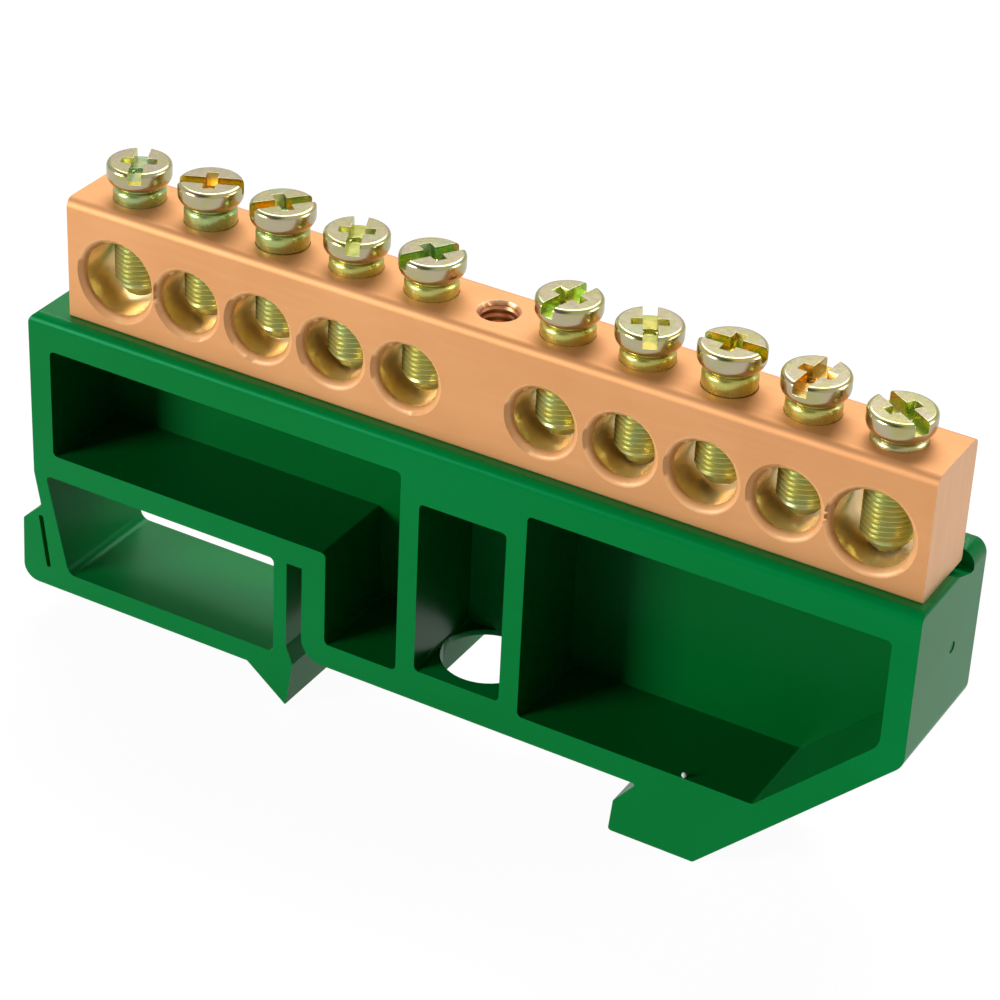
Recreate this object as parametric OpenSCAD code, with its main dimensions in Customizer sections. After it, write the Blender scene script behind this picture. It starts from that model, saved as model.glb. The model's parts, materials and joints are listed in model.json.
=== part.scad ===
// Earth terminal bar on a clip-on base for a 35 mm top-hat rail.
// +X along the bar, +Y to the back, +Z up. Origin: middle of the rail seat, in the plane of the screws.
// All lengths in millimetres.

/* [Bar] */
// Depth of the bar, front to back
bar_d = 8; // [7:0.1:8]
// Height of the bar
bar_h = 12; // [11:0.1:16]
// Radius on the bar's upper long edges
bar_edge_r = 0.9; // [0.2:0.1:1.2]
// Radius on the bar's lower long edges
bar_foot_r = 0.2; // [0.1:0.1:0.6]
// How far the bar's middle lies to the right of the rail's middle
bar_shift = -0.475; // [-1.2:0.025:0.4]

/* [Wire holes] */
// Distance between neighbouring wire holes
hole_pitch = 7.64; // [7.4:0.02:7.7]
// Distance from the end wire hole to its neighbour
end_pitch = 7.69; // [7.6:0.02:7.9]
// Distance between the two wire holes next to the middle
middle_gap = 13.41; // [12:0.01:14]
// Distance from the end wire hole to the end of the bar
end_margin = 5.21; // [4.9:0.01:7]
// Height of the wire holes' axes over the bar's underside
hole_z = 5.1; // [4.9:0.1:5.6]
// Diameter of a wire hole
hole_d = 5.9; // [5.4:0.1:6]
// Diameter of the wire hole at each end of the bar
end_hole_d = 7.1; // [6:0.1:7.2]
// Size of the chamfer round each wire hole
hole_chamfer = 0.65; // [0.2:0.05:0.7]

/* [Terminal screws] */
// Diameter of the terminal screws
screw_d = 4.8; // [4:0.1:4.9]
// Gap between a terminal screw and its hole, on the radius
screw_clearance = 0.05; // [0.03:0.01:0.1]
// Length of a terminal screw under its head
screw_len = 10.7; // [9:0.1:12]
// Diameter of the flat end of a terminal screw
tip_d = 2.7; // [2:0.1:3]
// Length of the tapered end of a terminal screw
tip_len = 1.3; // [0.8:0.1:2]
// Diameter of the head
head_d = 5.9; // [5.4:0.1:6.6]
// Height of the head
head_h = 2.15; // [1.6:0.05:3]
// Radius round the top of the head
head_edge_r = 0.3; // [0.1:0.05:0.5]
// Width of the screwdriver slot
slot_w = 1.1; // [0.8:0.1:1.4]
// Depth of the screwdriver slot
slot_depth = 1; // [0.6:0.1:1.2]
// Span of the cross recess
cross_span = 3.4; // [2.6:0.1:4]
// Width of each wing of the cross recess
cross_w = 0.8; // [0.6:0.1:1.2]
// How far the screws stop above the floor of a wire hole, from left to right
tip_rest = [1.2, 0.85, 0.95, 0.45, 0.65, 0.6, 0.45, 0.95, 0.65, 0.45];
// Direction of each screwdriver slot
slot_turn = [116, 26, 51, 114, 58, 77, 118, 1, 86, 147];

/* [Fixing screw] */
// Diameter of the screw that holds the bar on the base
fix_d = 4; // [3.5:0.1:4]
// How far the fixing screw reaches into the bar
fix_engagement = 6; // [4:0.1:7]
// Diameter of the fixing screw's head
fix_head_d = 6.6; // [6.2:0.1:7]
// Height of the fixing screw's head
fix_head_h = 2.6; // [2:0.1:3]
// Gap round the fixing screw's head in its counterbore
fix_head_gap = 0.3; // [0.2:0.1:0.5]
// How far the head lies above the mouth of its counterbore
fix_head_sunk = 0.2; // [0:0.1:0.4]
// Core diameter of the tapped hole in the middle of the bar
tap_core_d = 3.3; // [2.9:0.1:3.4]
// Gap between the fixing screw and its thread in the bar, on the radius
tap_clearance = 0.02; // [0.01:0.01:0.05]
// Free depth left over the end of the fixing screw
tap_run_out = 0.4; // [0.2:0.1:0.8]
// Countersink at the top of the tapped hole
tap_chamfer = 0.35; // [0.2:0.05:0.5]
// Gap between the fixing screw and its hole in the base, on the radius
fix_hole_clearance = 0.2; // [0.1:0.05:0.3]
// Gap between the fixing screw's head and the wall behind the pockets
fix_head_room = 0.8; // [0.6:0.1:1.2]

/* [Base body] */
// How far the base reaches past the left end of the bar
base_left = 3.6; // [2.5:0.1:6]
// How far the base reaches past the right end of the bar
base_right = 0.81; // [0.5:0.01:2]
// Height of the base from the rail seat to the bar
base_h = 26.9; // [26:0.1:30]
// Ledge in front of the bar
front_ledge = 1.6; // [1:0.1:2.2]
// Radius of the base's top left corner
left_corner_r = 1; // [0.6:0.1:2.4]
// Radius of the base's top right corner
right_corner_r = 0.4; // [0.2:0.1:0.8]
// Radius on the base's top edge at the front
top_edge_r = 1; // [0.3:0.1:1.2]

/* [Rear lip] */
// Gap between the bar and the lip behind it
lip_gap = 1.1; // [0.6:0.1:1.6]
// Thickness of the lip behind the bar
lip_t = 2.6; // [2:0.1:3.4]
// Height of the lip over the seat of the bar
lip_h = 0.4; // [0.4:0.1:3]
// Radius at the ends of the lip
lip_end_r = 1.5; // [0.6:0.1:2]
// Depth of the groove in front of the lip
groove_depth = 1.3; // [0.6:0.1:1.6]
// Width of the groove's floor
groove_floor = 0.6; // [0.4:0.1:1]
// Width of the groove's sloping side
groove_slope = 3.4; // [2:0.1:3.6]

/* [Pockets] */
// Thickness of the side walls
side_wall = 2.35; // [2:0.05:2.6]
// Roof over the two large pockets
pocket_roof = 3.35; // [2.5:0.05:4]
// Floor of the large pockets over the rail seat
pocket_floor = 2.5; // [2:0.1:3]
// Width of the middle pocket
mid_pocket_w = 8.82; // [8:0.02:9.4]
// Roof of the middle pocket, which takes the fixing screw
mid_roof = 5.9; // [5:0.1:6.5]
// Floor of the middle pocket over the rail seat
mid_floor = 3.3; // [2.5:0.1:4]
// Thickness of the ribs beside the middle pocket
rib_t = 1.94; // [1.6:0.02:2.4]
// Floor of the left pocket over the latch
left_floor = 2.5; // [2:0.1:3]
// Width of the left pocket's deep part
deep_w = 7.64; // [6:0.02:9]
// Thickness of the wall along the slanting side
slant_wall = 2.5; // [2:0.1:3]
// Radius inside the corners of the pockets
pocket_r = 0.5; // [0.2:0.1:0.8]
// Diameter of the screwdriver hole under the middle pocket
access_d = 8.6; // [6:0.1:8.6]
// Skin left over the notch behind the screwdriver hole
access_skin = 0.6; // [0.6:0.1:1.2]

/* [Rail seat] */
// Width of the rail over its two flanges
rail_w = 35; // [35:0.1:35.4]
// Gap between each flange edge and its catch
rail_gap = 0.2; // [0.1:0.05:0.3]
// Thickness of the rail's flange
flange_t = 1; // [1:0.1:1.5]
// How far the hooks reach below the rail seat
hook_drop = 6; // [5:0.1:7]
// How far the fixed hook reaches under the flange
hook_reach = 1.57; // [1.2:0.01:3]
// Height of the fixed hook's opening at its nose
hook_mouth = 2.65; // [2.2:0.05:3]
// Width of the fixed hook along its underside
hook_foot = 8.5; // [6:0.1:10]
// Height at which the slanting side meets the right end
slant_top = 11.9; // [11:0.1:14]
// Radius where the slanting side meets the right end
slant_r = 2; // [1:0.1:3]
// Radius of the body's lower left corner
seat_corner_r = 2.2; // [1:0.1:2.4]

/* [Latch] */
// Width of the slot beside the latch's spring arm
latch_slot = 1.65; // [1.2:0.05:2]
// Left edge of the seat, measured from the middle of the rail
seat_left = 16.5; // [15.5:0.1:16.5]
// Thickness of the spring arm
spring_t = 1.4; // [1.1:0.05:1.6]
// Height of the body's underside over the latch
latch_top = 9.8; // [9:0.1:10.2]
// Height of the latch's crossbar
beam_h = 2.1; // [1.6:0.1:2.6]
// How far the underside of the crossbar lies below the rail seat
beam_drop = 2.6; // [2.3:0.1:3]
// How far the catch stands out from the spring arm
barb_w = 0.72; // [0.5:0.02:0.9]
// Width of the catch's foot
catch_w = 4.3; // [3:0.1:5]
// Thickness of the outer arm at its top
arm_top_t = 1.35; // [1:0.05:1.6]
// Thickness of the outer arm at its foot
arm_foot_t = 2.35; // [2:0.05:2.8]
// How far the outer arm leans in over its height
arm_lean = 2.35; // [1.5:0.05:3]
// Radius inside the corners of the latch's window
window_r = 0.5; // [0.2:0.1:0.8]
// Radius where the outer arm meets the crossbar inside the window
window_foot_r = 1; // [0.3:0.1:1.2]
// How much less deep the latch is than the body, at the back
latch_setback = 1.2; // [0.6:0.1:1.6]

/* [Release tab] */
// How far the tab stands out from the end of the base
tab_out = 1.65; // [1:0.05:2.4]
// Height of the tab's top over the rail seat
tab_top = 4.2; // [3.8:0.1:4.6]
// Radius of the tab's lower corner
tab_r = 1.6; // [0.8:0.1:1.8]
// Width of the slit between the tab and the outer arm
slit_w = 0.5; // [0.4:0.1:0.8]

/* [Hidden] */

$fn = 64;
holes_per_side = 5;
corner_steps = 8;
plastic = [0.02, 0.5, 0.27];
copper = [0.85, 0.63, 0.42];
zinc = [0.82, 0.83, 0.72];
cut = 1;

// Places along X
bar_half = from_middle(holes_per_side - 1) + end_margin;
bar_left = bar_shift - bar_half;
bar_right = bar_shift + bar_half;
x_left = bar_left - base_left;
x_right = bar_right + base_right;
hole_count = 2 * holes_per_side;
half_catch = rail_w / 2 + rail_gap;
mid_left = -mid_pocket_w / 2;
mid_right = mid_pocket_w / 2;
slot_left = -seat_left - latch_slot;
spring_left = slot_left - spring_t;
barb_tip_x = slot_left + barb_w;
arm_foot_x = x_left + arm_lean + arm_top_t;

// Places along Y
y_front = -bar_d / 2 - front_ledge;
y_lip = bar_d / 2 + lip_gap;
y_back = y_lip + lip_t;
y_pocket = fix_head_d / 2 + fix_head_room;
y_latch = y_back - latch_setback;

// Places along Z
z_top = base_h;
z_lip = base_h + lip_h;
z_bar = base_h + bar_h;
z_hole = base_h + hole_z;
z_mid_roof = base_h - mid_roof;
z_fix_seat = z_mid_roof + fix_head_sunk + fix_head_h;
z_beam_under = -beam_drop;
z_beam_top = z_beam_under + beam_h;
z_foot = -hook_drop;
z_fix_end = base_h + fix_engagement;

// Index i counts the wire holes from the left; side_index counts them from the middle outwards
function side_index(i) = i < holes_per_side ? holes_per_side - 1 - i : i - holes_per_side;
function from_middle(k) = middle_gap / 2 + k * hole_pitch + (k == holes_per_side - 1 ? end_pitch - hole_pitch : 0);
function hole_x(i) = bar_shift + (i < holes_per_side ? -1 : 1) * from_middle(side_index(i));
function wire_d(i) = side_index(i) == holes_per_side - 1 ? end_hole_d : hole_d;
// A screw stands at its rest height, or where its head meets a taller bar
function tip_z(i) = max(z_hole - wire_d(i) / 2 + tip_rest[i], z_bar + screw_clearance - screw_len);

// Corner b of an outline, rounded to radius r between its neighbours a and c
function unit(v) = v / norm(v);
function turn(u, v, angle, t) = (sin((1 - t) * angle) * u + sin(t * angle) * v) / sin(angle);
function arc_points(centre, u, v, r) =
    let (angle = acos(u * v))
    [for (i = [0 : corner_steps]) centre + r * turn(u, v, angle, i / corner_steps)];
function round_corner(a, b, c, r) =
    let (u = unit(a - b), v = unit(c - b), half = acos(u * v) / 2)
    let (run = r / tan(half), centre = b + unit(u + v) * r / sin(half))
    arc_points(centre, unit(b + u * run - centre), unit(b + v * run - centre), r);
function xy(p) = [p[0], p[1]];
function outline(pts) = [
    for (i = [0 : len(pts) - 1])
        let (n = len(pts), a = xy(pts[(i + n - 1) % n]), b = xy(pts[i]), c = xy(pts[(i + 1) % n]))
        each pts[i][2] > 0 ? round_corner(a, b, c, pts[i][2]) : [b]];

// Outline in X and Z, swept from y0 to y1
module swept(pts, y0, y1) {
    translate([0, y1, 0]) rotate([90, 0, 0]) linear_extrude(y1 - y0) polygon(outline(pts));
}

// Outline of the body, up to height z
function body_outline(z, left_r, right_r) = [
    [x_left, z, left_r],
    [x_right, z, right_r],
    [x_right, slant_top, slant_r],
    [half_catch - hook_reach + hook_foot, z_foot, 0.4],
    [half_catch - hook_reach, z_foot, 0.3],
    [half_catch - hook_reach + 0.3, -hook_mouth, 0.3],
    [half_catch + flange_t * 0.9, 0, 0.2],
    [-seat_left, 0, seat_corner_r],
    [-seat_left, latch_top, 0],
    [x_left, latch_top, 0]];

// Section of the base's top, in Y and Z
function top_section() = [
    [y_front, z_foot - cut, 0],
    [y_front, z_top, top_edge_r],
    [y_lip - groove_slope - groove_floor, z_top, 0.4],
    [y_lip - groove_floor, z_top - groove_depth, 0.3],
    [y_lip, z_top - groove_depth, 0.2],
    [y_lip, z_lip, 0.2],
    [y_back, z_lip, 0.3],
    [y_back, z_foot - cut, 0]];

module body_solid() {
    intersection() {
        union() {
            swept(body_outline(z_top, left_corner_r, right_corner_r), y_front, y_lip);
            swept(body_outline(z_lip, lip_end_r, lip_end_r), y_lip, y_back);
        }
        translate([x_left - cut, 0, 0]) rotate([90, 0, 90])
            linear_extrude(x_right - x_left + 2 * cut) polygon(outline(top_section()));
    }
}

// Spring arm, crossbar, catch, outer arm and release tab, moulded with the body
function latch_window() = [
    [x_left + arm_top_t, latch_top, window_r],
    [spring_left, latch_top, window_r],
    [spring_left, z_beam_top, window_r],
    [arm_foot_x, z_beam_top, window_foot_r]];

module latch() {
    difference() {
        swept([
            [x_left, latch_top + cut, 0],
            [x_left, latch_top, 0],
            [x_left + 0.7, tab_top + tab_out + 0.4, 0.4],
            [x_left - tab_out + 0.2, tab_top, 0.4],
            [x_left - tab_out, z_beam_under, tab_r],
            [slot_left - catch_w, z_beam_under, 0.3],
            [slot_left, z_foot, 0.1],
            [barb_tip_x, -flange_t * 1.15, 0.25],
            [slot_left, 0.7, 0.2],
            [slot_left, latch_top + cut, 0]], y_front, y_latch);
        swept(latch_window(), y_front - cut, y_back + cut);
        release_slit();
    }
}

module release_slit() {
    foot = arm_foot_x - arm_foot_t;
    swept([
        [foot - 1, tab_top + 0.9, slit_w * 0.4],
        [foot - 1 + slit_w, tab_top + 0.9, slit_w * 0.4],
        [foot + slit_w / 2, z_beam_top, slit_w * 0.4],
        [foot - slit_w / 2, z_beam_top, slit_w * 0.4]], y_front - cut, y_latch + cut);
}

// Left pocket: wide on top, with a deep leg beside the middle pocket
module left_pocket() {
    right = mid_left - rib_t;
    swept([
        [x_left + side_wall, z_top - pocket_roof, pocket_r],
        [right, z_top - pocket_roof, pocket_r],
        [right, pocket_floor, pocket_r],
        [right - deep_w, pocket_floor, pocket_r],
        [right - deep_w, latch_top + left_floor, pocket_r],
        [x_left + side_wall, latch_top + left_floor, pocket_r]], y_front - cut, y_pocket);
}

module middle_pocket() {
    swept([
        [mid_left, z_mid_roof, pocket_r],
        [mid_right, z_mid_roof, pocket_r],
        [mid_right, mid_floor, pocket_r],
        [mid_left, mid_floor, pocket_r]], y_front - cut, y_pocket);
}

// Right pocket, whose outer corner follows the slanting side of the body
module right_pocket() {
    foot_x = half_catch - hook_reach + hook_foot;
    run = x_right - foot_x;
    rise = slant_top - z_foot;
    wall = slant_wall * norm([run, rise]) / rise;
    corner_x = foot_x - wall + (pocket_floor - z_foot) * run / rise;
    corner_z = z_foot + (x_right - side_wall - foot_x + wall) * rise / run;
    swept([
        [mid_right + rib_t, z_top - pocket_roof, pocket_r],
        [x_right - side_wall, z_top - pocket_roof, pocket_r],
        [x_right - side_wall, corner_z, slant_r],
        [corner_x, pocket_floor, pocket_r],
        [mid_right + rib_t, pocket_floor, pocket_r]], y_front - cut, y_pocket);
}

// Round opening for the screwdriver, cut open to the back under the floor's skin
module access_opening() {
    translate([0, 0, -cut]) cylinder(d = access_d, h = mid_floor + 2 * cut);
    translate([-access_d / 2, 0, -cut]) cube([access_d, y_back + cut, mid_floor - access_skin + cut]);
}

module base() {
    color(plastic) difference() {
        union() {
            body_solid();
            latch();
        }
        left_pocket();
        middle_pocket();
        right_pocket();
        translate([bar_shift, 0, z_mid_roof - cut]) cylinder(d = fix_d + 2 * fix_hole_clearance, h = mid_roof + 2 * cut);
        translate([bar_shift, 0, z_mid_roof - cut])
            cylinder(d = fix_head_d + 2 * fix_head_gap, h = z_fix_seat - z_mid_roof + cut);
        access_opening();
    }
}

module wire_hole(d) {
    rim_d = d + 2 * hole_chamfer;
    rotate([90, 0, 0]) cylinder(d = d, h = bar_d + 2 * cut, center = true);
    for (side = [-1, 1])
        rotate([side * 90, 0, 0]) translate([0, 0, bar_d / 2 - hole_chamfer])
            cylinder(d1 = d, d2 = rim_d + 0.02, h = hole_chamfer + 0.01);
}

// Rounded bar section, in Y and Z
function bar_section() = [
    [-bar_d / 2, z_top, bar_foot_r],
    [-bar_d / 2, z_bar, bar_edge_r],
    [bar_d / 2, z_bar, bar_edge_r],
    [bar_d / 2, z_top, bar_foot_r]];

module bar() {
    color(copper) difference() {
        translate([bar_left, 0, 0]) rotate([90, 0, 90]) linear_extrude(bar_right - bar_left) polygon(outline(bar_section()));
        for (i = [0 : hole_count - 1]) {
            translate([hole_x(i), 0, z_hole]) wire_hole(wire_d(i));
            translate([hole_x(i), 0, z_hole]) cylinder(d = screw_d + 2 * screw_clearance, h = bar_h);
        }
        translate([bar_shift, 0, z_top - cut]) cylinder(d = tap_core_d, h = bar_h + 2 * cut);
        translate([bar_shift, 0, z_top - cut])
            cylinder(d = fix_d + 2 * tap_clearance, h = fix_engagement + tap_run_out + cut);
        translate([bar_shift, 0, z_bar - tap_chamfer])
            cylinder(d1 = tap_core_d, d2 = tap_core_d + 2 * tap_chamfer + 0.02, h = tap_chamfer + 0.01);
    }
}

// Cheese head with a rounded top edge, a slot and a cross recess; its underside lies at z = 0
module slotted_head(d, h, edge_r, slot, depth, turn_angle) {
    difference() {
        rotate_extrude() union() {
            square([d / 2 - edge_r, h]);
            square([d / 2, h - edge_r]);
            translate([d / 2 - edge_r, h - edge_r]) circle(r = edge_r, $fn = 32);
        }
        rotate([0, 0, turn_angle]) translate([-d, -slot / 2, h - depth]) cube([2 * d, slot, depth + cut]);
        rotate([0, 0, turn_angle]) translate([-cross_w / 2, -cross_span / 2, h - depth])
            cube([cross_w, cross_span, depth + cut]);
    }
}

// Terminal screw number i, counted from the left from 0
module terminal_screw(i) {
    color(zinc) translate([hole_x(i), 0, tip_z(i)]) {
        cylinder(d1 = tip_d, d2 = screw_d, h = tip_len);
        translate([0, 0, tip_len]) cylinder(d = screw_d, h = screw_len - tip_len);
        translate([0, 0, screw_len]) slotted_head(head_d, head_h, head_edge_r, slot_w, slot_depth, slot_turn[i]);
    }
}

module fixing_screw() {
    color(zinc) translate([bar_shift, 0, 0]) {
        translate([0, 0, z_fix_seat]) cylinder(d = fix_d, h = z_fix_end - z_fix_seat);
        translate([0, 0, z_fix_seat]) rotate([180, 0, 0])
            slotted_head(fix_head_d, fix_head_h, head_edge_r, slot_w, slot_depth, 0);
    }
}

base();
bar();
fixing_screw();
terminal_screw(0);  // terminal_screw_1
terminal_screw(1);  // terminal_screw_2
terminal_screw(2);  // terminal_screw_3
terminal_screw(3);  // terminal_screw_4
terminal_screw(4);  // terminal_screw_5
terminal_screw(5);  // terminal_screw_6
terminal_screw(6);  // terminal_screw_7
terminal_screw(7);  // terminal_screw_8
terminal_screw(8);  // terminal_screw_9
terminal_screw(9);  // terminal_screw_10
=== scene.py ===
import json
import math

import bpy
from mathutils import Matrix, Vector


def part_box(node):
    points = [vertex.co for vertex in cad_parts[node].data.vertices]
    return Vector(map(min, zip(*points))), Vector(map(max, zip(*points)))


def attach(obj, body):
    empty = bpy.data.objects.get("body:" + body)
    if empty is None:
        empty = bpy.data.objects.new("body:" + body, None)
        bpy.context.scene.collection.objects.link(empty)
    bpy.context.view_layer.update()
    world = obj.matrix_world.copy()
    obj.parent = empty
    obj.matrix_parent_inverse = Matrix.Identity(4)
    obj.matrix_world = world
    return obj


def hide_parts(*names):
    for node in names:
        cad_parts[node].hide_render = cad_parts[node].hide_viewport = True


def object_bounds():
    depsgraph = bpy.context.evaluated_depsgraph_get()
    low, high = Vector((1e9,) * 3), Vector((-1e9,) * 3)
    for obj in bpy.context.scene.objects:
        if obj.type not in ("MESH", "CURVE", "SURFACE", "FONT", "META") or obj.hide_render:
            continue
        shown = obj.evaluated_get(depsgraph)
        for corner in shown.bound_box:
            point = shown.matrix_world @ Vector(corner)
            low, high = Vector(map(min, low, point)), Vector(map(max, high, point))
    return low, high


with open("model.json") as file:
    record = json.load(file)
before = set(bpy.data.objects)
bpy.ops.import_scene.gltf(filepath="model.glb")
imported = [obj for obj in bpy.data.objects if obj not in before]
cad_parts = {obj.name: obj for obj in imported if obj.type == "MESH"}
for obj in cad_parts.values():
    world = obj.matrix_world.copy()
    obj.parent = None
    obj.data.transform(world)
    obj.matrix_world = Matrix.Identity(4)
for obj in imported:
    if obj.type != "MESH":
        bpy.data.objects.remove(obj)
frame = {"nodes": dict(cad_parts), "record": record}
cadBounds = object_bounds()
mm = 0.001
near = 0.05 * mm  # closer than this is touching
print("frame loaded")


def clearSelection():
    if bpy.context.object and bpy.context.object.mode != "OBJECT":
        bpy.ops.object.mode_set(mode="OBJECT")
    bpy.ops.object.select_all(action="DESELECT")


def activate(piece):
    clearSelection()
    piece.select_set(True)
    bpy.context.view_layer.objects.active = piece


def nameNew(name):
    piece = bpy.context.object
    piece.name = name
    piece.data.name = name
    return piece


def settle(piece):
    activate(piece)
    bpy.ops.object.transform_apply(location=True, rotation=True, scale=True)  # the place goes into the mesh
    return piece


def applyModifier(piece, kind, **settings):
    activate(piece)
    modifier = piece.modifiers.new(kind.lower(), kind)
    for key, value in settings.items():
        setattr(modifier, key, value)
    bpy.ops.object.modifier_apply(modifier=modifier.name)


def cutWith(piece, tool, operation="DIFFERENCE"):
    applyModifier(piece, "BOOLEAN", operation=operation, solver="EXACT", object=tool)
    bpy.data.objects.remove(tool, do_unlink=True)


def editMesh(piece, mode="EDGE"):
    activate(piece)
    bpy.ops.object.mode_set(mode="EDIT")
    bpy.ops.mesh.select_mode(type=mode)
    bpy.ops.mesh.select_all(action="DESELECT")


def pickEdges(piece, wanted):
    bpy.ops.object.mode_set(mode="OBJECT")
    points = [v.co for v in piece.data.vertices]
    for edge in piece.data.edges:
        a, b = points[edge.vertices[0]], points[edge.vertices[1]]
        edge.select = wanted(a, b)
    bpy.ops.object.mode_set(mode="EDIT")


def cleanNormals(piece, gap):  # merges what lies closer than the gap
    activate(piece)
    bpy.ops.object.mode_set(mode="EDIT")
    bpy.ops.mesh.select_all(action="SELECT")
    bpy.ops.mesh.remove_doubles(threshold=gap)
    bpy.ops.mesh.normals_make_consistent(inside=False)
    bpy.ops.object.mode_set(mode="OBJECT")


def smoothByAngle(piece, degrees):  # large flat faces keep their own normal beside a small rounding
    activate(piece)
    bpy.ops.object.shade_smooth_by_angle(angle=math.radians(degrees))
    applyModifier(piece, "WEIGHTED_NORMAL", keep_sharp=True, weight=80)


def addCylinder(name, radius, bottom, top, sides):
    clearSelection()
    bpy.ops.mesh.primitive_cylinder_add(vertices=sides, radius=radius, depth=top - bottom,
                                        location=(0, 0, (top + bottom) / 2))
    return settle(nameNew(name))


def addBox(name, low, high):
    clearSelection()
    centre = [(a + b) / 2 for a, b in zip(low, high)]
    bpy.ops.mesh.primitive_cube_add(size=1, location=centre, scale=[b - a for a, b in zip(low, high)])
    return settle(nameNew(name))


def copyPiece(source, name, place):
    piece = source.copy()
    piece.data = source.data.copy()
    piece.name = piece.data.name = name
    piece.data.transform(place)
    bpy.context.scene.collection.objects.link(piece)
    return piece


def middle(node):
    low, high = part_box(node)
    return [(a + b) / 2 for a, b in zip(low, high)]


def copyNode(node, name):  # a merged copy of a CAD node, ready to be dressed
    source = frame["nodes"][node]
    clearSelection()
    piece = bpy.data.objects.new(name, source.data.copy())
    bpy.context.scene.collection.objects.link(piece)
    piece.data.materials.clear()
    activate(piece)
    bpy.ops.object.mode_set(mode="EDIT")
    bpy.ops.mesh.select_all(action="SELECT")
    bpy.ops.mesh.remove_doubles(threshold=2e-6)
    bpy.ops.mesh.normals_make_consistent(inside=False)
    bpy.ops.mesh.dissolve_limited(angle_limit=math.radians(0.6), delimit={"NORMAL"})
    bpy.ops.object.mode_set(mode="OBJECT")
    return piece


class Value:  # a node's output that takes part in sums
    def __init__(self, tree, socket):
        self.tree, self.socket = tree, socket

    def node(self, kind, settings=None, output=0, **links):
        made = self.tree.nodes.new(kind)
        for key, value in (settings or {}).items():
            if key == "stops":
                ramp = made.color_ramp
                while len(ramp.elements) < len(value):
                    ramp.elements.new(0.5)
                for stop, (place, colour) in zip(ramp.elements, value):
                    stop.position, stop.color = place, (*colour, 1)
            else:
                setattr(made, key, value)
        for key, value in links.items():
            name = key.replace("_", " ")
            target = made.inputs[int(key[1:])] if key[0] == "n" and key[1:].isdigit() else made.inputs[name]
            if isinstance(value, Value):
                self.tree.links.new(value.socket, target)
            else:
                target.default_value = value
        return Value(self.tree, made.outputs[output])

    def maths(self, operation, a, b):
        return self.node("ShaderNodeMath", {"operation": operation}, n0=a, n1=b)

    def __add__(self, other): return self.maths("ADD", self, other)
    def __radd__(self, other): return self.maths("ADD", other, self)
    def __sub__(self, other): return self.maths("SUBTRACT", self, other)
    def __rsub__(self, other): return self.maths("SUBTRACT", other, self)
    def __mul__(self, other): return self.maths("MULTIPLY", self, other)
    def __rmul__(self, other): return self.maths("MULTIPLY", other, self)

    def blend(self, a, b):  # this value mixes two colours
        return self.node("ShaderNodeMix", {"data_type": "RGBA"}, output=2, n0=self, n6=a, n7=b)

    def ramp(self, stops):
        return self.node("ShaderNodeValToRGB", {"stops": stops}, Fac=self)

    def band(self, low, high):  # 0 below low, 1 above high
        return self.node("ShaderNodeMapRange", {"clamp": True}, Value=self, From_Min=low, From_Max=high)


def rgb(red, green, blue):  # display values from 0 to 255, as linear light
    def linear(v):
        v = v / 255
        return v / 12.92 if v <= 0.04045 else ((v + 0.055) / 1.055) ** 2.4
    return (linear(red), linear(green), linear(blue), 1.0)


def startMaterial(name):
    material = bpy.data.materials.new(name)
    material.use_nodes = True
    tree = material.node_tree
    shader = tree.nodes["Principled BSDF"]
    start = Value(tree, None)
    place = start.node("ShaderNodeTexCoord", output="Object")
    return material, tree, shader, start, place


def setShader(tree, shader, **sockets):
    for key, value in sockets.items():
        target = shader.inputs[key.replace("_", " ")]
        if isinstance(value, Value):
            tree.links.new(value.socket, target)
        else:
            target.default_value = value


def noise(start, place, scale, detail, distortion=0.0):
    return start.node("ShaderNodeTexNoise", Vector=place, Scale=scale, Detail=detail, Distortion=distortion)


def stretched(start, place, x, y, z):
    return start.node("ShaderNodeMapping", Vector=place, Scale=(x, y, z))


# the two pocket greens are darker than the front: painted shade for the faces deep inside the pockets
plasticLook = dict(colour=rgb(0, 130, 60), shade=rgb(0, 120, 48), pocket=rgb(0, 98, 36), pocketPaintedShadeDark=rgb(0, 88, 28),
                   sheenTint=rgb(0, 170, 120), roughness=0.26, specular=0.36, waviness=0.05, grain=0.04)


def makePlastic(name, first, second):  # glossy moulded plastic with flow shades and a slight waviness
    look = plasticLook
    material, tree, shader, start, place = startMaterial(name)
    flow = noise(start, stretched(start, place, 30, 30, 60), 1.0, detail=2.0)
    fine = noise(start, place, 2600, detail=2.0)
    broad = noise(start, place, 70, detail=2.0)
    colour = flow.band(0.3, 0.7).blend(first, second)
    wave = start.node("ShaderNodeBump", Strength=look["waviness"], Distance=0.0006, Height=broad)
    bump = start.node("ShaderNodeBump", Strength=look["grain"], Distance=0.00003, Height=fine, Normal=wave)
    setShader(tree, shader, Base_Color=colour, Roughness=look["roughness"] + flow * 0.08,
              Specular_IOR_Level=look["specular"], Specular_Tint=look["sheenTint"], Normal=bump)
    return material


barLook = dict(colour=rgb(224, 166, 112), warm=rgb(216, 155, 101), pale=rgb(236, 184, 134),
               roughness=0.6, metallic=0.75,
               bore=(rgb(250, 208, 132), rgb(254, 220, 158)), boreRoughness=0.22, boreMetallic=0.62,
               rim=(rgb(244, 176, 114), rgb(250, 192, 132)), rimRoughness=0.42, rimMetallic=0.1,
               sawn=(rgb(232, 182, 140), rgb(240, 194, 154)), sawnRoughness=0.46, sawnMetallic=0.85,
               # tap: the two colours of the thread's painted shade rings
               tap=(rgb(206, 142, 98), rgb(244, 194, 152)), tapRoughness=0.4, tapMetallic=0.85, tapPitch=0.7 * mm)


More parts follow.
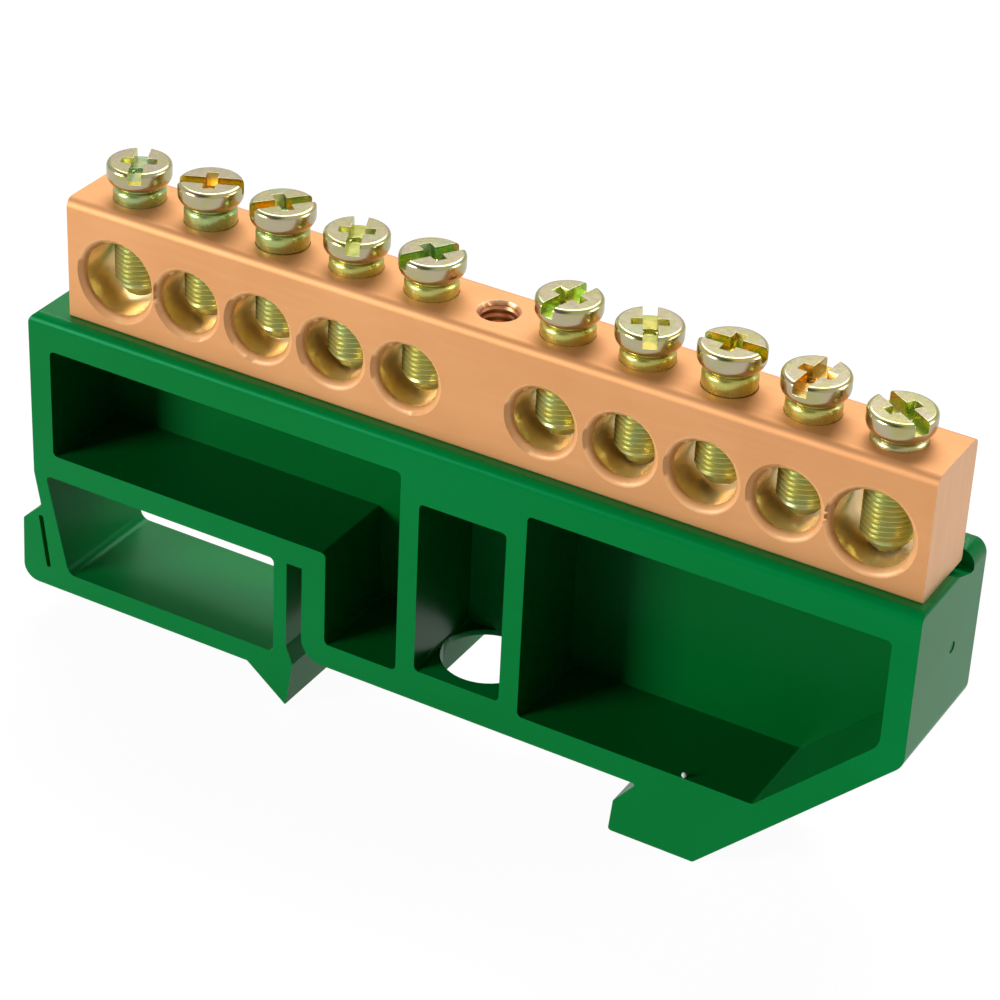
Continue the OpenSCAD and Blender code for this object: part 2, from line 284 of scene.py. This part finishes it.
def makeBarMetal():  # satin copper, drawn along its length
    look = barLook
    material, tree, shader, start, place = startMaterial("copperBar")
    drawn = noise(start, stretched(start, place, 120, 1400, 1400), 1.0, detail=3.0)
    cloud = noise(start, place, 110, detail=3.0)
    speck = noise(start, place, 2400, detail=2.0)
    tone = cloud.band(0.25, 0.75).blend(look["warm"], look["colour"])
    colour = (drawn.band(0.5, 0.85) * 0.22).blend(tone, look["pale"])
    bump = start.node("ShaderNodeBump", Strength=0.1, Distance=0.00004, Height=drawn * 0.5 + speck)
    setShader(tree, shader, Base_Color=colour, Metallic=look["metallic"],
              Roughness=look["roughness"] - 0.04 + cloud * 0.08, Normal=bump)
    return material


def makeBoreMetal():  # smooth drilled walls, a little brassier than the faces
    look = barLook
    material, tree, shader, start, place = startMaterial("drilledBore")
    cloud = noise(start, place, 320, detail=2.0)
    colour = cloud.band(0.3, 0.7).blend(*look["bore"])
    setShader(tree, shader, Base_Color=colour, Metallic=look["boreMetallic"],
              Roughness=look["boreRoughness"] + cloud * 0.08)
    return material


def makeChamferMetal():  # countersinks, turned to a satin finish
    look = barLook
    material, tree, shader, start, place = startMaterial("turnedRim")
    cloud = noise(start, place, 500, detail=2.0)
    colour = cloud.band(0.3, 0.7).blend(*look["rim"])
    setShader(tree, shader, Base_Color=colour, Metallic=look["rimMetallic"],
              Roughness=look["rimRoughness"] + cloud * 0.08)
    return material


def makeSawnMetal():  # sawn ends, with faint upright lines
    look = barLook
    material, tree, shader, start, place = startMaterial("sawnEnd")
    lines = noise(start, stretched(start, place, 200, 2600, 160), 1.0, detail=3.0)
    cloud = noise(start, place, 160, detail=2.0)
    colour = lines.band(0.2, 0.8).blend(*look["sawn"])
    bump = start.node("ShaderNodeBump", Strength=0.1, Distance=0.00005, Height=lines + cloud * 0.3)
    setShader(tree, shader, Base_Color=colour, Metallic=look["sawnMetallic"],
              Roughness=look["sawnRoughness"] + cloud * 0.08, Normal=bump)
    return material


def makeTapMetal():  # tapped hole: the thread is painted as dark and light rings, painted shade in its grooves, and bumped with the same rings
    look = barLook
    material, tree, shader, start, place = startMaterial("tappedThread")
    onePitch = math.tau / 20 / look["tapPitch"]  # a wave of scale 1 repeats every tau / 20
    paintedShadeRings = start.node("ShaderNodeTexWave", {"wave_type": "BANDS", "bands_direction": "Z", "wave_profile": "TRI"},
                       Vector=place, Scale=onePitch, Distortion=0.0)
    colour = paintedShadeRings.band(0.2, 0.9).blend(*look["tap"])
    bump = start.node("ShaderNodeBump", Strength=0.55, Distance=0.0003, Height=paintedShadeRings)
    setShader(tree, shader, Base_Color=colour, Metallic=look["tapMetallic"],
              Roughness=look["tapRoughness"] + paintedShadeRings * 0.05, Normal=bump)
    return material


def stop(place, red, green, blue):
    return (place, rgb(red, green, blue)[:3])


# tints of the zinc's film, from the left screw to the right one: two that mix in each recess, and the neck's
recessFirst = [stop(0.0, 226, 204, 70), stop(0.1, 206, 190, 70), stop(0.2, 236, 180, 60), stop(0.31, 150, 176, 70),
               stop(0.41, 150, 190, 90), stop(0.6, 120, 184, 70), stop(0.7, 220, 196, 80), stop(0.8, 246, 186, 60),
               stop(0.9, 240, 166, 70), stop(1.0, 140, 190, 80)]
recessSecond = [stop(0.0, 110, 180, 160), stop(0.1, 236, 170, 70), stop(0.2, 110, 190, 150),
                stop(0.31, 190, 196, 100), stop(0.41, 100, 180, 150), stop(0.6, 190, 204, 100),
                stop(0.7, 150, 160, 80), stop(0.8, 130, 190, 80), stop(0.9, 176, 120, 80), stop(1.0, 206, 206, 110)]
recessMuted = rgb(206, 196, 116)
neckStops = [stop(0.0, 172, 200, 138), stop(0.2, 178, 200, 128), stop(0.3, 202, 204, 116), stop(0.9, 206, 202, 110),
             stop(1.0, 196, 196, 150)]
neckPatch = rgb(196, 176, 76)
# tints that mix on every shank and every head
shankStops = [stop(0.25, 170, 188, 132), stop(0.5, 192, 188, 110), stop(0.75, 174, 190, 142)]
headStops = [stop(0.25, 184, 194, 160), stop(0.42, 196, 186, 136), stop(0.52, 196, 184, 156),
             stop(0.62, 190, 186, 134), stop(0.78, 190, 170, 96)]


def along(start, place):  # 0 at the left screw, 1 at the right one
    across = start.node("ShaderNodeSeparateXYZ", Vector=place)
    return across.band(middle("terminal_screw_1")[0], middle("terminal_screw_10")[0])


def finishZinc(tree, shader, start, place, colour, roughness, metallic=1.0):
    fine = noise(start, place, 1800, detail=2.0)
    bump = start.node("ShaderNodeBump", Strength=0.08, Distance=0.00004, Height=fine)
    setShader(tree, shader, Base_Color=colour, Metallic=metallic, Roughness=roughness + fine * 0.08, Normal=bump)


def makeHeadZinc():
    material, tree, shader, start, place = startMaterial("zincHead")
    film = noise(start, place, 260, detail=2.0, distortion=0.6)
    finishZinc(tree, shader, start, place, film.ramp(headStops), 0.17)
    return material


def makeRecessZinc():  # the film is thicker and more strongly tinted in the recess
    material, tree, shader, start, place = startMaterial("zincRecess")
    film = noise(start, place, 620, detail=1.0, distortion=0.5)
    where = along(start, place)
    strong = film.band(0.42, 0.58).blend(where.ramp(recessFirst), where.ramp(recessSecond))
    muted = noise(start, place, 900, detail=1.0).band(0.3, 0.7) * 0.5 + 0.2
    finishZinc(tree, shader, start, place, muted.blend(strong, recessMuted), 0.2)
    return material


def makeNeckZinc():
    material, tree, shader, start, place = startMaterial("zincNeck")
    film = noise(start, place, 420, detail=1.0, distortion=0.5)
    colour = (film.band(0.4, 0.75) * 0.5).blend(along(start, place).ramp(neckStops), neckPatch)
    finishZinc(tree, shader, start, place, colour, 0.24, metallic=0.85)
    return material


def makeShankZinc():
    material, tree, shader, start, place = startMaterial("zincShank")
    film = noise(start, place, 300, detail=2.0, distortion=0.4)
    finishZinc(tree, shader, start, place, film.ramp(shankStops), 0.3, metallic=0.75)
    return material


greenPlastic = makePlastic("greenPlastic", plasticLook["colour"], plasticLook["shade"])
# the same plastic in darker greens: painted shade inside the pockets
paintedShadePlastic = makePlastic("paintedShadePlastic", plasticLook["pocket"], plasticLook["pocketPaintedShadeDark"])
barMetal = makeBarMetal()
boreMetal = makeBoreMetal()
rimMetal = makeChamferMetal()
sawnMetal = makeSawnMetal()
tapMetal = makeTapMetal()
headZinc = makeHeadZinc()
recessZinc = makeRecessZinc()
neckZinc = makeNeckZinc()
shankZinc = makeShankZinc()
print("materials made")


baseSizes = dict(edge=0.12 * mm, edgeSteps=2, frontRim=0.4 * mm, latchRight=-16.4 * mm, latchTop=9.85 * mm,
                 ejectorMark=(42.86 * mm, 2.3 * mm, 19.4 * mm), ejectorRadius=0.55 * mm, ejectorDepth=0.1 * mm,
                 gateStub=(23.0 * mm, -5.34 * mm, 2.68 * mm), gateRadius=0.25 * mm)


def walledIn(piece, point):  # inside a pocket there is a wall on every side; such faces get the painted shade
    return all(piece.ray_cast(point, Vector(way))[0] for way in ((1, 0, 0), (-1, 0, 0), (0, 0, 1), (0, 0, -1)))


def makeBase():
    piece = copyNode("base", "baseMoulding")
    size = baseSizes
    clearSelection()
    bpy.ops.mesh.primitive_cylinder_add(vertices=32, radius=size["ejectorRadius"], depth=2 * size["ejectorDepth"],
                                        location=size["ejectorMark"], rotation=(0, math.radians(90), 0))
    cutWith(piece, settle(nameNew("ejectorCut")))
    applyModifier(piece, "BEVEL", width=size["edge"], segments=size["edgeSteps"], limit_method="ANGLE",
                  angle_limit=math.radians(40), use_clamp_overlap=True, harden_normals=False)
    clearSelection()
    bpy.ops.mesh.primitive_uv_sphere_add(segments=16, ring_count=10, radius=size["gateRadius"],
                                         location=size["gateStub"])
    stub = settle(nameNew("gateStub"))  # what is left of the gate, on the lower rib
    for material in (greenPlastic, paintedShadePlastic):
        piece.data.materials.append(material)
    front = piece.bound_box[0][1] + size["frontRim"]
    bpy.context.view_layer.update()
    # faces deep inside the pockets take the darker green, painted shade, except in the latch window
    for face in piece.data.polygons:
        if face.center.x < size["latchRight"] and face.center.z < size["latchTop"]:
            continue  # light comes into the latch window from behind
        if face.center.y > front and walledIn(piece, face.center + face.normal * near):
            face.material_index = 1
    clearSelection()
    stub.select_set(True)
    piece.select_set(True)
    bpy.context.view_layer.objects.active = piece
    bpy.ops.object.join()
    smoothByAngle(piece, 35)
    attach(piece, "holder")
    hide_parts("base")


makeBase()
print("base made")


barSizes = dict(chamfer=0.65 * mm, wall=0.02 * mm, tapReach=2.2 * mm)
barParts = dict(face=barMetal, bore=boreMetal, rim=rimMetal, end=sawnMetal, tap=tapMetal)


def wireHoles():  # place and radius of each wire hole, from the record
    holes = []
    for mount in frame["record"]["mounts"]:
        if mount["name"].startswith("wire_"):
            holes.append((mount["pos_m"][0], mount["pos_m"][2], mount["dims"]["r_mm"] * mm))
    return holes


def barPart(centre, normal, low, high, holes):  # what a face of the bar belongs to, by its place and direction
    if abs(normal.x) > 0.95 and (centre.x < low.x + near or centre.x > high.x - near):
        return "end"
    for x, z, radius in holes:
        away = math.hypot(centre.x - x, centre.z - z)
        if away < radius + barSizes["wall"] and abs(normal.y) < 0.3:
            return "bore"
        if away < radius + barSizes["chamfer"] and 0.3 < abs(normal.y) < 0.95:
            return "rim"
    if math.hypot(centre.x - middle("fixing_screw")[0], centre.y) < barSizes["tapReach"] and abs(normal.z) < 0.9:
        return "tap"
    return "face"


def makeBar():
    piece = copyNode("bar", "terminalBar")
    for material in barParts.values():
        piece.data.materials.append(material)
    low, high = (Vector(p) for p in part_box("bar"))
    holes = wireHoles()
    names = list(barParts)
    for face in piece.data.polygons:
        face.material_index = names.index(barPart(face.center, face.normal, low, high, holes))
    smoothByAngle(piece, 28)
    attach(piece, "holder")
    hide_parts("bar")


makeBar()
print("bar made")


screwSizes = dict(
    length=10.7 * mm, crestRadius=2.39 * mm, rootRadius=2.1 * mm, pitch=0.5 * mm, crestFlat=0.07 * mm,
    tipRadius=1.35 * mm, taper=1.3 * mm, headRadius=2.95 * mm, headHeight=2.15 * mm, topEdge=0.4 * mm,
    underEdge=1.0 * mm, neckRadius=2.42 * mm, neckLength=1.9 * mm, neckLap=0.02 * mm, neckShort=0.12 * mm,
    neckTopEdge=0.5 * mm, neckFootEdge=0.25 * mm, waistRadius=2.05 * mm, waistBelow=0.6 * mm, waistAbove=0.3 * mm,
    slotWidth=1.28 * mm, slotDepth=1.0 * mm, crossSpan=3.9 * mm, crossWidth=1.2 * mm, crossDepth=1.15 * mm,
    crossNarrowing=(0.8, 0.62), pitSpan=2.3 * mm, pitDepth=1.35 * mm, pitNarrowing=(0.45, 0.45), brokenEdge=0.07 * mm)
slotTurns = (116, 26, 51, 114, 58, 77, 118, 1, 86, 147)  # degrees, from the left screw to the right one


def makeThread(size):
    # one tooth of the thread, turned up the shank
    clearSelection()
    bpy.ops.mesh.primitive_circle_add(vertices=4, radius=size["pitch"], fill_type="NOTHING")
    thread = nameNew("screwThread")
    flat, pitch, root, crest = size["crestFlat"], size["pitch"], size["rootRadius"], size["crestRadius"]
    profile = [(root, 0), (crest, (pitch - flat) / 2), (crest, (pitch + flat) / 2), (root, pitch)]
    for vertex, (radius, height) in zip(thread.data.vertices, profile):
        vertex.co = (radius, 0, height - 2.1 * pitch)  # no corner falls on a later cut
    editMesh(thread)
    pickEdges(thread, lambda a, b: abs(a.z - b.z) > 0.99 * pitch)
    bpy.ops.mesh.delete(type="EDGE")
    bpy.ops.object.mode_set(mode="OBJECT")
    turns = math.ceil(size["length"] / pitch) + 3
    applyModifier(thread, "SCREW", angle=math.tau, screw_offset=pitch, iterations=turns, steps=36, render_steps=36,
                  use_merge_vertices=False, use_smooth_shade=False)
    cleanNormals(thread, 2e-6)
    taper, shoulder = size["taper"], size["length"] - size["neckLength"]
    for height, inner, outer in ((0.0, True, False), (taper * 0.5, False, False), (taper, False, False),
                                 (shoulder, False, True)):
        editMesh(thread)
        bpy.ops.mesh.select_all(action="SELECT")
        bpy.ops.mesh.bisect(plane_co=(0, 0, height), plane_no=(0, 0, 1), use_fill=inner or outer,
                            clear_inner=inner, clear_outer=outer)
        bpy.ops.object.mode_set(mode="OBJECT")
    cleanNormals(thread, 1e-7)
    for vertex in thread.data.vertices:  # the end is turned down to a cone
        away = math.hypot(vertex.co.x, vertex.co.y)
        share = min(1.0, max(0.0, vertex.co.z / taper))
        limit = size["tipRadius"] + (crest + near - size["tipRadius"]) * share
        if away > limit:
            vertex.co.x *= limit / away
            vertex.co.y *= limit / away
    thread.data.validate()  # drops faces that the cuts left double
    return thread


def roundRim(piece, height, offset, steps):
    editMesh(piece)
    pickEdges(piece, lambda a, b: abs(a.z - height) < 1e-7 and abs(b.z - height) < 1e-7)
    bpy.ops.mesh.bevel(offset_type="OFFSET", offset=offset, segments=steps)
    bpy.ops.object.mode_set(mode="OBJECT")


def narrowBelow(piece, height, narrowing):
    for vertex in piece.data.vertices:
        if vertex.co.z < height:
            vertex.co.x *= narrowing[0]
            vertex.co.y *= narrowing[1]


def makeHead(size):
    bottom, top = size["length"], size["length"] + size["headHeight"]
    head = addCylinder("screwHead", size["headRadius"], bottom, top, 72)
    above = top + 1 * mm
    roundRim(head, top, size["topEdge"], 5)
    roundRim(head, bottom, size["underEdge"], 9)
    half, reach = size["slotWidth"] / 2, size["headRadius"] * 1.2
    cutWith(head, addBox("slotCut", (-reach, -half, top - size["slotDepth"]), (reach, half, above)))
    half, reach = size["crossWidth"] / 2, size["crossSpan"] / 2
    cross = addBox("crossCut", (-half, -reach, top - size["crossDepth"]), (half, reach, above))
    narrowBelow(cross, top, size["crossNarrowing"])
    cutWith(head, cross)
    pit = addCylinder("pitCut", size["pitSpan"] / 2, top - size["pitDepth"], above, 24)
    narrowBelow(pit, top, size["pitNarrowing"])
    cutWith(head, pit)
    applyModifier(head, "BEVEL", width=size["brokenEdge"], segments=2, limit_method="ANGLE",
                  angle_limit=math.radians(50), use_clamp_overlap=True)
    return head


def makeNeck(size):  # a plain collar, waisted where it meets the head
    foot, top = size["length"] - size["neckLength"] - size["neckLap"], size["length"] - size["neckShort"]
    neck = addCylinder("screwNeck", size["neckRadius"], foot, top, 72)
    roundRim(neck, foot, size["neckFootEdge"], 2)
    roundRim(neck, top, size["neckTopEdge"], 5)
    waist = addCylinder("neckWaist", size["waistRadius"], size["length"] - size["waistBelow"],
                        size["length"] + size["waistAbove"], 72)
    cutWith(neck, waist, "UNION")
    return neck


def inRecess(face, size):
    top = size["length"] + size["headHeight"]
    away = math.hypot(face.center.x, face.center.y)
    if not top - size["pitDepth"] - near < face.center.z < top - 2 * near or away >= size["headRadius"] * 0.97:
        return False
    outward = face.normal.x * face.center.x + face.normal.y * face.center.y
    return outward < 0.7 * away or abs(face.normal.z) > 0.5


def paintScrew(part, size, plain):
    finishes = (headZinc, recessZinc, shankZinc, neckZinc)
    part.data.materials.clear()
    for finish in finishes:
        part.data.materials.append(finish)
    for face in part.data.polygons:
        sunk = plain is headZinc and inRecess(face, size)
        face.material_index = finishes.index(recessZinc if sunk else plain)


def makeScrew(size):
    thread, head, neck = makeThread(size), makeHead(size), makeNeck(size)
    for part, plain in ((thread, shankZinc), (head, headZinc), (neck, neckZinc)):
        paintScrew(part, size, plain)
    clearSelection()
    for part in (thread, head, neck):
        part.select_set(True)
    bpy.context.view_layer.objects.active = thread
    bpy.ops.object.join()
    smoothByAngle(thread, 30)
    thread.name = "screwPattern"
    return thread


def placeScrews():
    pattern = makeScrew(screwSizes)
    for index, turn in enumerate(slotTurns, 1):
        node = f"terminal_screw_{index}"
        x, y, _ = middle(node)
        place = Matrix.Translation((x, y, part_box(node)[0][2]))
        piece = copyPiece(pattern, f"terminalScrew{index}", place @ Matrix.Rotation(math.radians(turn), 4, "Z"))
        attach(piece, f"screw_{index}")
        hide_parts(node)
    bpy.data.objects.remove(pattern, do_unlink=True)


placeScrews()
print("terminal screws made")


# the fixing screw keeps its CAD shape
fixingScrew = frame["nodes"]["fixing_screw"]
for finish in fixingScrew.material_slots:
    finish.material = headZinc
print("fixing screw finished")


stageLook = dict(world=0.06, mirrored=0.6, darkSide=0.85, darkWay=(-0.25, -0.75, 0.61), darkBand=(0.72, 0.86),
                 floorColour=0.55, floorWhite=0.8, whiteStrength=1.18, floorSize=4.0, floorGap=0.02 * mm)
lamps = dict(  # place, width and height, power
    keyLamp=((-0.8, -0.99, 0.32), (0.48, 0.48), 15.0),
    topLamp=((-0.2, 0.5, 0.7), (0.7, 0.45), 5.0),
    sideLamp=((0.7, 0.35, 0.25), (0.4, 0.4), 2.2))
lampTarget = (0, 0, 0.02)


def whiteSeen(start):  # 1 where the white surroundings are seen directly or through something, less in a mirror
    seen = start.node("ShaderNodeLightPath", output="Is Camera Ray")
    through = start.node("ShaderNodeLightPath", output="Is Transmission Ray")
    mirrored = start.node("ShaderNodeLightPath", output="Is Glossy Ray")
    return (seen + through + mirrored * stageLook["mirrored"]).band(0.0, 1.0)


def makeFloor():
    clearSelection()
    look = stageLook
    bpy.ops.mesh.primitive_plane_add(size=look["floorSize"], location=(0, 0, cadBounds[0][2] - look["floorGap"]))
    floor = nameNew("studioFloor")
    editMesh(floor, "FACE")
    bpy.ops.mesh.select_all(action="SELECT")
    bpy.ops.mesh.subdivide(number_cuts=4)
    bpy.ops.object.mode_set(mode="OBJECT")
    settle(floor)
    material = bpy.data.materials.new("paleFloor")
    material.use_nodes = True
    tree = material.node_tree
    tree.nodes.clear()
    start = Value(tree, None)
    pale = look["floorColour"]
    matt = start.node("ShaderNodeBsdfDiffuse", Color=(pale, pale, pale, 1))
    white = start.node("ShaderNodeEmission", Color=(1, 1, 1, 1), Strength=look["whiteStrength"])
    mixed = start.node("ShaderNodeMixShader", n0=whiteSeen(start) * look["floorWhite"], n1=matt, n2=white)
    end = tree.nodes.new("ShaderNodeOutputMaterial")
    tree.links.new(mixed.socket, end.inputs["Surface"])
    floor.data.materials.append(material)


def makeWorld():
    look = stageLook
    world = bpy.data.worlds.new("studioWorld")
    bpy.context.scene.world = world
    world.use_nodes = True
    tree = world.node_tree
    tree.nodes.clear()
    start = Value(tree, None)
    way = start.node("ShaderNodeTexCoord", output="Generated")
    front = start.node("ShaderNodeVectorMath", {"operation": "DOT_PRODUCT"}, output="Value",
                       n0=way, n1=look["darkWay"])
    mirrored = start.node("ShaderNodeLightPath", output="Is Glossy Ray")
    darkSide = mirrored * front.band(*look["darkBand"]) * look["darkSide"]  # metal mirrors the studio's unlit side
    strength = (whiteSeen(start) * (1 - look["world"]) + look["world"]) * (1 - darkSide)
    sky = start.node("ShaderNodeBackground", Color=(1, 1, 1, 1), Strength=strength)
    end = tree.nodes.new("ShaderNodeOutputWorld")
    tree.links.new(sky.socket, end.inputs["Surface"])


def addLamp(name, place, size, power):
    lamp = bpy.data.lights.new(name, "AREA")
    lamp.shape, lamp.size, lamp.size_y = "RECTANGLE", size[0], size[1]
    lamp.energy = power
    lampObject = bpy.data.objects.new(name, lamp)
    bpy.context.scene.collection.objects.link(lampObject)
    lampObject.location = place
    lampObject.rotation_euler = (Vector(lampTarget) - Vector(place)).to_track_quat("-Z", "Y").to_euler()


view = dict(place=(0.117092, -0.213205, 0.172229), azimuth=-28.668, elevation=32.028, roll=2.8285, lens=117.234)


def makeCamera():
    az, el, roll = (math.radians(view[k]) for k in ("azimuth", "elevation", "roll"))
    forward = Vector((math.sin(az) * math.cos(el), math.cos(az) * math.cos(el), -math.sin(el)))
    right = forward.cross(Vector((0, 0, 1))).normalized()
    up = right.cross(forward)
    rightTurned = math.cos(roll) * right + math.sin(roll) * up
    upTurned = -math.sin(roll) * right + math.cos(roll) * up
    camera = bpy.data.cameras.new("studioCamera")
    camera.lens, camera.sensor_width, camera.clip_start = view["lens"], 36, 0.005
    cameraObject = bpy.data.objects.new("studioCamera", camera)
    bpy.context.scene.collection.objects.link(cameraObject)
    rotation = Matrix((rightTurned, upTurned, -forward)).transposed()
    cameraObject.matrix_world = Matrix.Translation(view["place"]) @ rotation.to_4x4()
    bpy.context.scene.camera = cameraObject


makeFloor()
makeWorld()
for lampName, settings in lamps.items():
    addLamp(lampName, *settings)
makeCamera()
bpy.context.scene.view_settings.view_transform = "Standard"
print("stage and camera made")
